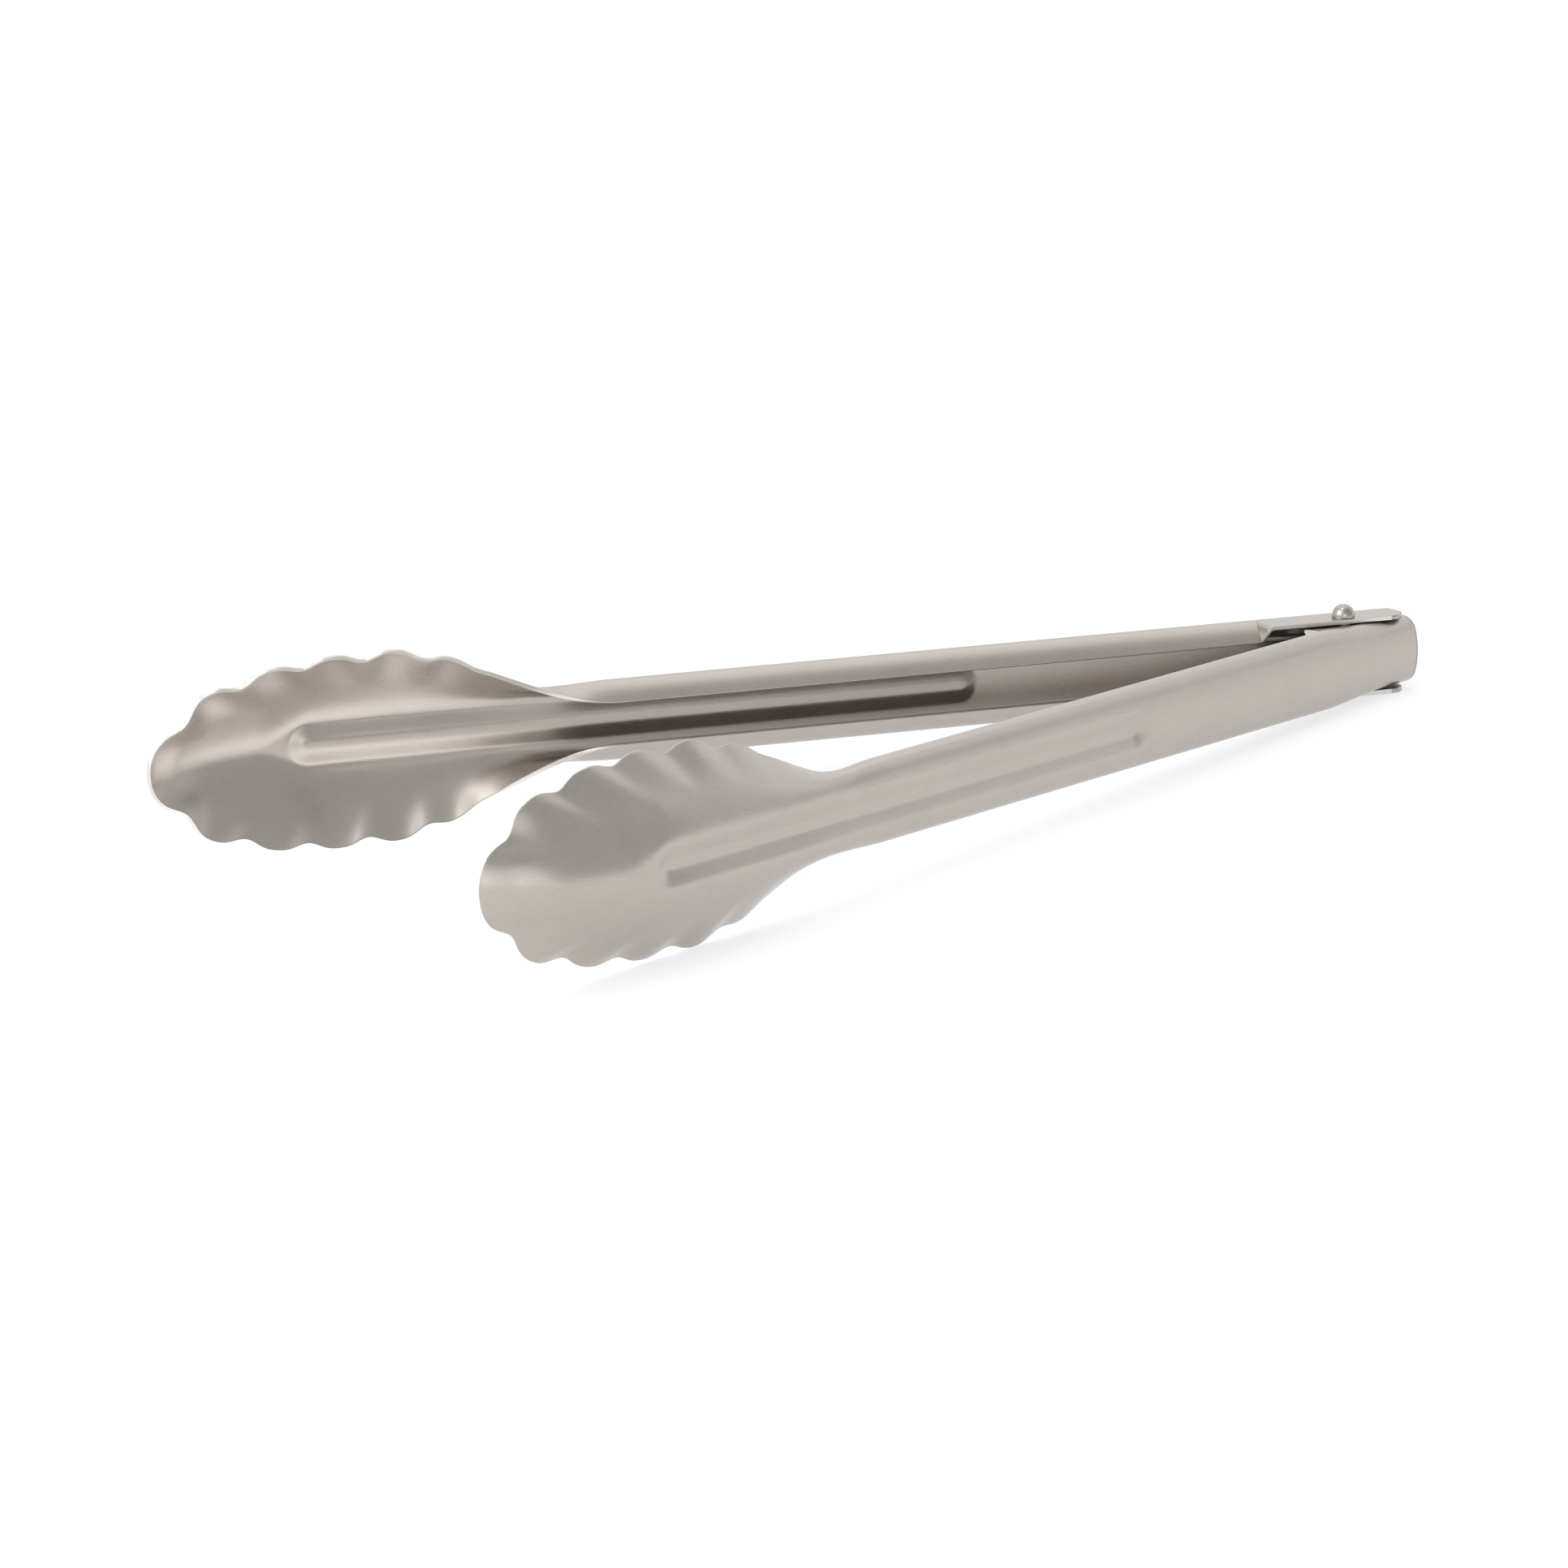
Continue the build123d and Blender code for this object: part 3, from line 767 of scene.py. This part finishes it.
def place_grain(tree, across, along):
    """The grain group, fed with the piece's own map."""
    uv = add(tree, "ShaderNodeUVMap", uv_map="grain")
    node = tree.nodes.new("ShaderNodeGroup")
    node.node_tree = GRAIN
    tree.links.new(uv.outputs["UV"], node.inputs["Grain Map"])
    node.inputs["Across"].default_value = across
    node.inputs["Along"].default_value = along
    return node


# %% Arm steel
ARM_COLOUR = (0.475, 0.437, 0.402)
EDGE_COLOUR = (0.72, 0.69, 0.65)
ARM_ROUGHNESS = 0.30
ARM_STREAKS_ACROSS, ARM_STREAKS_ALONG = 560.0, 60.0
TORN_SCALE, TORN_DEPTH = 1400.0, 10.0
GRAIN_DEPTH = 0.00003


def arm_steel():
    """Base colour, roughness and height each take a share of the streaks. The sheared edge is
    lighter with a torn grain, and the rubbed ear is smoother and lighter."""
    material, tree, shader = new_material("arm_steel_brushed")
    grain = place_grain(tree, ARM_STREAKS_ACROSS, ARM_STREAKS_ALONG).outputs
    edge = add(tree, "ShaderNodeAttribute", attribute_name="bare_edge").outputs["Fac"]
    rubbed = add(tree, "ShaderNodeAttribute", attribute_name="rubbed").outputs["Fac"]
    value = total(tree, 1.0, (grain["Streaks"], 0.24), (grain["Scratches"], 0.09),
                  (grain["Cloud"], 0.13), (rubbed, 0.12))
    shade = add(tree, "ShaderNodeCombineColor", {0: value, 1: value, 2: value}).outputs[0]
    sheet = add(tree, "ShaderNodeMix", {0: 1.0, 6: (*ARM_COLOUR, 1.0), 7: shade},
                data_type="RGBA", blend_type="MULTIPLY").outputs[2]
    colour = add(tree, "ShaderNodeMix", {0: edge, 6: sheet, 7: (*EDGE_COLOUR, 1.0)},
                 data_type="RGBA").outputs[2]
    rough = total(tree, ARM_ROUGHNESS, (grain["Streaks"], 0.16), (grain["Cloud"], 0.10),
                  (rubbed, -0.10), (edge, 0.04))
    coords = add(tree, "ShaderNodeTexCoord").outputs["Object"]
    torn = math_node(tree, "SUBTRACT", noise(tree, coords, TORN_SCALE, 3.0, 0.6), 0.5)
    torn = math_node(tree, "MULTIPLY", math_node(tree, "MULTIPLY", torn, TORN_DEPTH), edge)
    brushed = math_node(tree, "ADD", math_node(tree, "MULTIPLY", grain["Streaks"], 0.5),
                        math_node(tree, "MULTIPLY", grain["Scratches"], 0.8))
    join(tree, shader, colour, rough, math_node(tree, "ADD", brushed, torn), 0.12, GRAIN_DEPTH)
    tangent = add(tree, "ShaderNodeTangent", direction_type="UV_MAP", uv_map="grain")
    tree.links.new(tangent.outputs[0], shader.inputs["Tangent"])
    shader.inputs["Anisotropic"].default_value = 0.5
    shader.inputs["Anisotropic Rotation"].default_value = 0.25
    return material


def dress(piece, material):
    """Gives a piece one material."""
    piece.data.materials.clear()
    piece.data.materials.append(material)


ARM_STEEL = arm_steel()
dress(outer_arm, ARM_STEEL)
dress(inner_arm, ARM_STEEL)
print("arm steel has", len(ARM_STEEL.node_tree.nodes), "nodes")

# %% [markdown]
# ## Polished rivet and drawn wire
# The rivet's head is tumbled to a shine, with faint marks. Spring wire is darker and has a
# soft drawn lustre with streaks along the wire.

# %% Rivet and wire steel
RIVET_DARK, RIVET_LIGHT = (0.34, 0.315, 0.29), (0.46, 0.43, 0.40)
RIVET_CLOUDS, DENT_DEPTH = 700.0, 0.00004
WIRE_DARK, WIRE_LIGHT = (0.26, 0.25, 0.24), (0.50, 0.48, 0.46)
WIRE_STREAKS_ACROSS, WIRE_STREAKS_ALONG = 900.0, 4.0
WIRE_ROUGHNESS = 0.34


def rivet_steel():
    """Bright steel with faint cloudy roughness and tiny dents."""
    material, tree, shader = new_material("rivet_steel_polished")
    coords = add(tree, "ShaderNodeTexCoord").outputs["Object"]
    cloud = noise(tree, coords, RIVET_CLOUDS, 4.0, 0.6)
    rough = add(tree, "ShaderNodeMapRange", {"Value": cloud, "From Min": 0.3, "From Max": 0.7,
                                             "To Min": 0.16, "To Max": 0.28}).outputs["Result"]
    colour = two_colours(tree, cloud, RIVET_DARK, RIVET_LIGHT)
    join(tree, shader, colour, rough, cloud, 0.3, DENT_DEPTH)
    return material


def spring_steel():
    """Drawn wire: the same grain, finer and longer, on a darker steel."""
    material, tree, shader = new_material("spring_wire_drawn")
    grain = place_grain(tree, WIRE_STREAKS_ACROSS, WIRE_STREAKS_ALONG).outputs
    colour = two_colours(tree, total(tree, 0.5, (grain["Streaks"], 0.9)), WIRE_DARK, WIRE_LIGHT)
    rough = total(tree, WIRE_ROUGHNESS, (grain["Scratches"], 0.2))
    join(tree, shader, colour, rough, grain["Streaks"], 0.3, GRAIN_DEPTH)
    return material


dress(rivet, rivet_steel())
dress(spring, spring_steel())
for node_object in frame["nodes"].values():
    dress(node_object, ARM_STEEL)
print("dressed", len(frame["nodes"]), "CAD nodes and 4 finished pieces")

# %% [markdown]
# ## The studio
# The tongs lie on a white floor that glows softly. The glow is painted light, which keeps
# shadows pale and makes the sides that face down bright. A brighter pool of the same painted
# glow lies under the outer arm's head. Metal shows its surroundings, so the world matters
# more than the lamps: it is white all round and overhead, with one soft grey patch low
# towards the front right. The patch is full grey to about 32 degrees from its middle and gone at about 52.
# Surfaces that mirror it go darker, which draws the keel, the rib and the lobes. Four soft
# lamps stand behind to the right, to the left, overhead and low in front.

# %% Floor
# Painted light: the floor glows, and glows more in a pool under the outer arm's head.
FLOOR_GLOW, PAINTED_POOL_GLOW = 2.0, 3.7
POOL_CENTRE = (-0.105, 0.055, 0.0)
POOL_INNER, POOL_OUTER = 0.025, 0.065
FLOOR_HALF, FLOOR_STEPS = 3.0, 24
FLOOR_DARK, FLOOR_LIGHT = (0.33, 0.33, 0.33), (0.35, 0.35, 0.35)


def floor_white():
    """A matt pale grey that varies faintly, plus its own colour times a painted glow of light,
    which falls smoothly from the middle of the painted pool under the head to its rim."""
    material, tree, shader = new_material("studio_white")
    coords = add(tree, "ShaderNodeTexCoord").outputs["Object"]
    cloud = add(tree, "ShaderNodeTexNoise", {"Vector": coords, "Scale": 3.0}).outputs["Fac"]
    tint = two_colours(tree, cloud, FLOOR_DARK, FLOOR_LIGHT)
    away = add(tree, "ShaderNodeVectorMath", {0: coords, 1: POOL_CENTRE},
               operation="DISTANCE").outputs["Value"]
    # Painted light: the glow is strongest in the pool under the outer arm's head and lifts the floor's
    # shadows.
    glow = add(tree, "ShaderNodeMapRange", {"Value": away, "From Min": POOL_INNER, "From Max": POOL_OUTER,
               "To Min": PAINTED_POOL_GLOW, "To Max": FLOOR_GLOW}, interpolation_type="SMOOTHSTEP")
    lit = add(tree, "ShaderNodeVectorMath", {0: tint, "Scale": glow.outputs["Result"]}, operation="SCALE")
    tree.links.new(tint, shader.inputs["Base Color"])
    tree.links.new(lit.outputs[0], shader.inputs["Emission Color"])
    shader.inputs["Emission Strength"].default_value = 1.0
    shader.inputs["Roughness"].default_value = 0.9
    shader.inputs["Specular IOR Level"].default_value = 0.1
    return material


def sweep():
    """A wide flat sheet at height 0: a square grid of FLOOR_STEPS by FLOOR_STEPS points."""
    steps = FLOOR_STEPS
    line = np.linspace(-FLOOR_HALF, FLOOR_HALF, steps)
    x, y = np.meshgrid(line, line, indexing="ij")
    points = np.stack([x, y, np.zeros_like(x)], -1)
    index = np.arange(steps * steps).reshape(steps, steps)
    faces = np.stack([index[:-1, :-1], index[1:, :-1], index[1:, 1:], index[:-1, 1:]], -1).reshape(-1, 4)
    floor = mesh_object("studio_floor", points, faces)
    dress(floor, floor_white())
    return floor


floor = sweep()
print("floor", 2.0 * FLOOR_HALF, "m wide")

# %% World and lamps
ROOM_LIGHT, ROOM_DARK = 1.05, 0.60


def direction(azimuth, elevation):
    """Unit vector from the tongs: azimuth 0 is the front, 90 the right, in degrees."""
    a, e = math.radians(azimuth), math.radians(elevation)
    return Vector((math.sin(a) * math.cos(e), -math.cos(a) * math.cos(e), math.sin(e)))


DARK_SIDE = direction(25.0, 27.0)
DARK_RIM, DARK_CORE = 0.62, 0.85


def studio_world():
    """White all round and overhead, grey inside a wide cone about DARK_SIDE. The level falls
    smoothly as the cosine of the angle to that side rises from DARK_RIM to DARK_CORE."""
    world = bpy.data.worlds.new("studio_world")
    bpy.context.scene.world = world
    world.use_nodes = True
    tree = world.node_tree
    tree.nodes.clear()
    coords = add(tree, "ShaderNodeTexCoord")
    facing = add(tree, "ShaderNodeVectorMath", {0: coords.outputs["Generated"], 1: DARK_SIDE},
                 operation="DOT_PRODUCT")
    level = add(tree, "ShaderNodeMapRange", {"Value": facing.outputs["Value"], "From Min": DARK_RIM,
                "From Max": DARK_CORE, "To Min": ROOM_LIGHT, "To Max": ROOM_DARK},
                interpolation_type="SMOOTHSTEP")
    light = add(tree, "ShaderNodeBackground", {"Strength": level.outputs["Result"]})
    light.inputs["Color"].default_value = (1.0, 1.0, 1.0, 1.0)
    output = add(tree, "ShaderNodeOutputWorld")
    tree.links.new(light.outputs[0], output.inputs["Surface"])


def softbox(name, azimuth, elevation, distance, size, power):
    """A square area lamp on a sphere round the tongs, facing their middle: degrees, metres
    and watts."""
    centre = Vector((0.0, 0.0, 0.02))
    towards = direction(azimuth, elevation)
    data = bpy.data.lights.new(name, "AREA")
    data.size = size
    data.energy = power
    lamp = bpy.data.objects.new(name, data)
    lamp.matrix_world = (Matrix.Translation(centre + towards * distance)
                         @ towards.to_track_quat("Z", "Y").to_matrix().to_4x4())
    bpy.context.scene.collection.objects.link(lamp)


studio_world()
# name, azimuth, elevation, distance, size, power
LAMPS = (("key_softbox", 150.0, 60.0, 2.0, 2.0, 4.0), ("left_softbox", -88.0, 38.0, 2.0, 1.6, 17.0),
         ("top_softbox", -60.0, 83.0, 2.0, 0.45, 2.2), ("front_softbox", -15.0, 10.0, 2.0, 1.0, 2.6))
for lamp_values in LAMPS:
    softbox(*lamp_values)
print("lamps", [lamp_values[0] for lamp_values in LAMPS])
bpy.context.scene.view_settings.view_transform = "Standard"

# %% [markdown]
# ## The camera
# A long lens from a little above the floor, at the front left, with the heads nearer. The
# camera leans a few degrees, which only turns the frame.

# %% Camera
CAMERA_AZIMUTH, CAMERA_ELEVATION = -33.539, 14.704
CAMERA_ROLL = -3.821
CAMERA_DISTANCE = 1.3633
CAMERA_TARGET = Vector((-0.03586, -0.0117, 0.015))
CAMERA_LENS, CAMERA_SENSOR = 142.8, 36.0


def studio_camera():
    """Stands on a line from the target, looks at it, and is rolled about that line."""
    back = direction(CAMERA_AZIMUTH, CAMERA_ELEVATION)
    right = Vector((0.0, 0.0, 1.0)).cross(back).normalized()
    over = back.cross(right)
    roll = math.radians(CAMERA_ROLL)
    right, over = (math.cos(roll) * right + math.sin(roll) * over,
                   math.cos(roll) * over - math.sin(roll) * right)
    data = bpy.data.cameras.new("studio_camera")
    data.lens = CAMERA_LENS
    data.sensor_width = CAMERA_SENSOR
    data.clip_start, data.clip_end = 0.05, 50.0
    camera = bpy.data.objects.new("studio_camera", data)
    turn = Matrix((right, over, back)).transposed().to_4x4()
    camera.matrix_world = Matrix.Translation(CAMERA_TARGET + back * CAMERA_DISTANCE) @ turn
    bpy.context.scene.collection.objects.link(camera)
    bpy.context.scene.camera = camera


studio_camera()
print("camera", round(CAMERA_DISTANCE, 2), "m away, lens", CAMERA_LENS, "mm")
